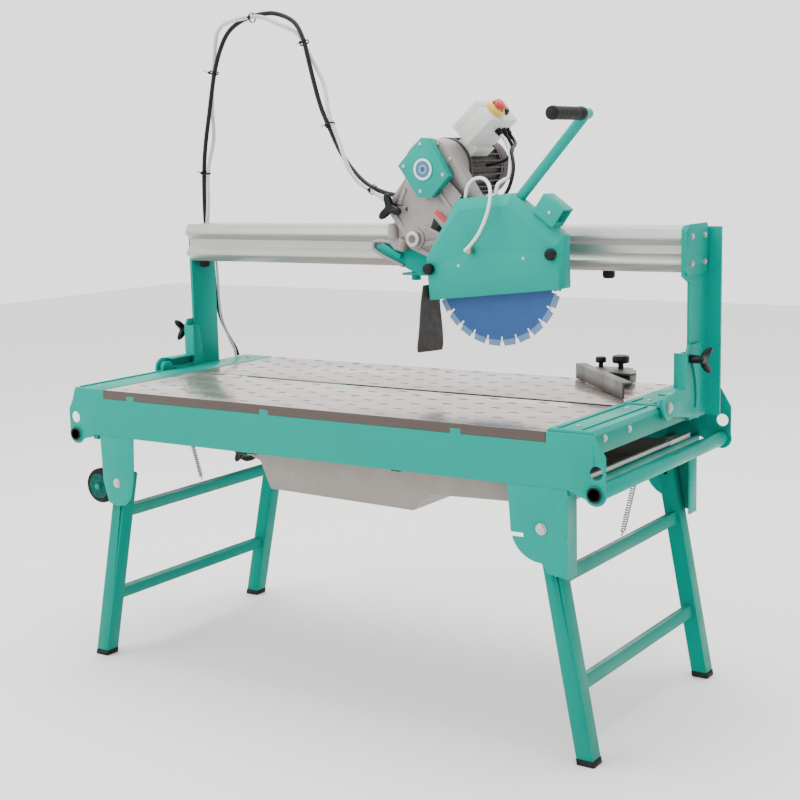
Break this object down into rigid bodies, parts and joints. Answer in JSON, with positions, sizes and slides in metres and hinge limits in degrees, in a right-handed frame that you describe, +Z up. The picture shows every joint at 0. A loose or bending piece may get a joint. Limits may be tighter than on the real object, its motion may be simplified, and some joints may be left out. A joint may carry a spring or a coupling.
{
  "type": "wet tile saw",
  "caption": "Bridge-type wet saw for tile and stone: folding bench with drip tray, tilting rail bridge, sliding motor head with guarded diamond blade that plunges.",
  "frame": {"origin": "on the floor under the middle of the bench", "axes": "+X along the guide rail towards the end with the mitre fence, -Y towards the operator's side, +Z up"},
  "size_m": [1.6355, 0.714, 1.715],
  "materials": {
    "green_paint": "powder-coated sea green, satin",
    "table_steel": "dimpled galvanised sheet",
    "bright_steel": "zinc plated",
    "tray_plastic": "moulded grey plastic",
    "black_plastic": "moulded black plastic",
    "black_rubber": "black rubber",
    "tyre_rubber": "solid black tyre on a moulded hub",
    "rail_aluminium": "extruded, satin",
    "cast_aluminium": "sand-cast, painted warm grey",
    "dark_motor": "finned dark grey casting",
    "box_plastic": "moulded light grey plastic",
    "water_brass": "plated brass",
    "cable_black": "black sheathed cable",
    "blade_blue": "blue lacquered steel core with bare segments",
    "button_red": "red mushroom",
    "button_green": "green push button",
    "fence_steel": "grey painted steel"
  },
  "bodies": {
    "bench": {"side_panels": "green_paint", "cross_beams": "green_paint", "carry_tubes": "green_paint", "table_top": "table_steel", "end_decks": "green_paint", "leg_brackets": "green_paint", "wheel_mounts": "green_paint", "frame_bolts": "bright_steel", "drip_tray": "tray_plastic", "tray_walls": "tray_plastic", "water_pump": "black_plastic", "tilt_quadrants": "bright_steel", "left_leg_spring": "bright_steel", "right_leg_spring": "bright_steel"},
    "left_legs": {"left_leg_frame": "green_paint", "left_feet": "black_rubber"},
    "right_legs": {"right_leg_frame": "green_paint", "right_feet": "black_rubber"},
    "front_wheel": {"front_wheel": "tyre_rubber"},
    "rear_wheel": {"rear_wheel": "tyre_rubber"},
    "left_tilt_clamp": {"left_tilt_knob": "black_plastic"},
    "right_tilt_clamp": {"right_tilt_knob": "black_plastic"},
    "bridge": {"posts": "green_paint", "tilt_feet": "green_paint", "rail_end_plates": "green_paint", "guide_rail": "rail_aluminium", "rail_bumpers": "black_rubber", "bridge_bolts": "bright_steel", "cable_loop": "cable_black", "post_cable": "cable_black"},
    "carriage": {"carriage_frame": "green_paint", "pivot_shaft": "bright_steel"},
    "left_roller": {"left_roller": "bright_steel"},
    "right_roller": {"right_roller": "bright_steel"},
    "head": {"drive_housing": "cast_aluminium", "motor_flange": "cast_aluminium", "hex_cover": "green_paint", "motor_body": "dark_motor", "switch_box": "box_plastic", "guard_shell": "green_paint", "guard_cover": "green_paint", "splash_flap": "black_rubber", "handle_tube": "green_paint", "hand_grip": "black_rubber", "drive_belt": "black_rubber", "arbor_bearings": "bright_steel", "water_fitting": "water_brass", "head_cables": "cable_black"},
    "plunge_lock": {"plunge_knob": "black_plastic"},
    "left_guard_screw": {"left_guard_knob": "black_plastic"},
    "right_guard_screw": {"right_guard_knob": "black_plastic"},
    "blade": {"saw_blade": "blade_blue", "blade_arbor": "bright_steel", "arbor_pulley": "bright_steel"},
    "rotor": {"motor_rotor": "bright_steel", "motor_pulley": "bright_steel"},
    "estop": {"estop_button": "button_red"},
    "start": {"start_button": "button_green"},
    "fence_slider": {"fence_block": "fence_steel"},
    "fence": {"fence_bar": "fence_steel"},
    "fence_lock": {"fence_lock_knob": "black_plastic"},
    "fence_swivel": {"fence_swivel_knob": "black_plastic"}
  },
  "joints": [
    {"name": "left_leg_fold", "type": "hinge", "parent": "bench", "child": "left_legs", "pos_m": [-0.622, 0, 0.49], "axis": [0, -1, 0], "range_deg": [0, 100], "deforming": ["left_leg_spring"]},
    {"name": "right_leg_fold", "type": "hinge", "parent": "bench", "child": "right_legs", "pos_m": [0.632, 0, 0.521], "axis": [0, 1, 0], "range_deg": [0, 95], "deforming": ["right_leg_spring"]},
    {"name": "front_wheel_spin", "type": "hinge", "parent": "bench", "child": "front_wheel", "pos_m": [-0.727, -0.302, 0.464], "axis": [0, 1, 0], "continuous": true},
    {"name": "rear_wheel_spin", "type": "hinge", "parent": "bench", "child": "rear_wheel", "pos_m": [-0.727, 0.302, 0.464], "axis": [0, 1, 0], "continuous": true},
    {"name": "left_tilt_knob_turn", "type": "hinge", "parent": "bench", "child": "left_tilt_clamp", "pos_m": [-0.8, 0.11729, 0.83668], "axis": [1, 0, 0], "range_deg": [-180, 180]},
    {"name": "right_tilt_knob_turn", "type": "hinge", "parent": "bench", "child": "right_tilt_clamp", "pos_m": [0.8, 0.11729, 0.83668], "axis": [1, 0, 0], "range_deg": [-180, 180]},
    {"name": "bridge_tilt", "type": "hinge", "parent": "bench", "child": "bridge", "pos_m": [0, 0, 0.74], "axis": [1, 0, 0], "range_deg": [0, 45], "deforming": ["post_cable"]},
    {"name": "carriage_slide", "type": "slide", "parent": "bridge", "child": "carriage", "axis": [1, 0, 0], "range_m": [-0.64, 0.25], "deforming": ["cable_loop"]},
    {"name": "left_roller_spin", "type": "hinge", "parent": "carriage", "child": "left_roller", "pos_m": [0.035, 0.0957, 1.086], "axis": [0, 0, 1], "range_deg": [-3300, 1300]},
    {"name": "right_roller_spin", "type": "hinge", "parent": "carriage", "child": "right_roller", "pos_m": [0.235, 0.0957, 1.086], "axis": [0, 0, 1], "range_deg": [-3300, 1300]},
    {"name": "head_plunge", "type": "hinge", "parent": "carriage", "child": "head", "pos_m": [0.086, 0, 1.112], "axis": [0, 1, 0], "range_deg": [0, 36]},
    {"name": "plunge_knob_turn", "type": "hinge", "parent": "head", "child": "plunge_lock", "pos_m": [0.022, 0, 1.188], "axis": [0, 1, 0], "range_deg": [-180, 180]},
    {"name": "left_guard_knob_turn", "type": "hinge", "parent": "head", "child": "left_guard_screw", "pos_m": [0.158, -0.03, 1.042], "axis": [0, 1, 0], "range_deg": [-180, 180]},
    {"name": "right_guard_knob_turn", "type": "hinge", "parent": "head", "child": "right_guard_screw", "pos_m": [0.493, -0.03, 1.083], "axis": [0, 1, 0], "range_deg": [-180, 180]},
    {"name": "blade_spin", "type": "hinge", "parent": "head", "child": "blade", "pos_m": [0.33, 0, 1.032], "axis": [0, 1, 0], "continuous": true},
    {"name": "rotor_spin", "type": "hinge", "parent": "head", "child": "rotor", "pos_m": [0.128, 0, 1.282], "axis": [0, 1, 0], "continuous": true},
    {"name": "estop_press", "type": "slide", "parent": "head", "child": "estop", "axis": [-0.7604, 0, -0.6494], "range_m": [0, 0.005], "stiffness_N_per_m": 800},
    {"name": "start_press", "type": "slide", "parent": "head", "child": "start", "axis": [-0.7604, 0, -0.6494], "range_m": [0, 0.003], "stiffness_N_per_m": 600},
    {"name": "fence_slide", "type": "slide", "parent": "bench", "child": "fence_slider", "axis": [1, 0, 0], "range_m": [-0.85, 0]},
    {"name": "fence_turn", "type": "hinge", "parent": "fence_slider", "child": "fence", "pos_m": [0.498, 0.326, 0.74], "axis": [0, 0, 1], "range_deg": [-45, 0]},
    {"name": "fence_lock_turn", "type": "hinge", "parent": "fence", "child": "fence_lock", "pos_m": [0.438, 0.335, 0.77], "axis": [0, 0, 1], "range_deg": [-180, 180]},
    {"name": "fence_swivel_turn", "type": "hinge", "parent": "fence", "child": "fence_swivel", "pos_m": [0.498, 0.326, 0.77], "axis": [0, 0, 1], "range_deg": [-180, 180]}
  ],
  "couplings": [
    {"joint": "left_roller_spin", "follows": "carriage_slide", "rad_per_m": 83.333},
    {"joint": "right_roller_spin", "follows": "carriage_slide", "rad_per_m": 83.333},
    {"joint": "rotor_spin", "follows": "blade_spin", "ratio": 1}
  ]
}
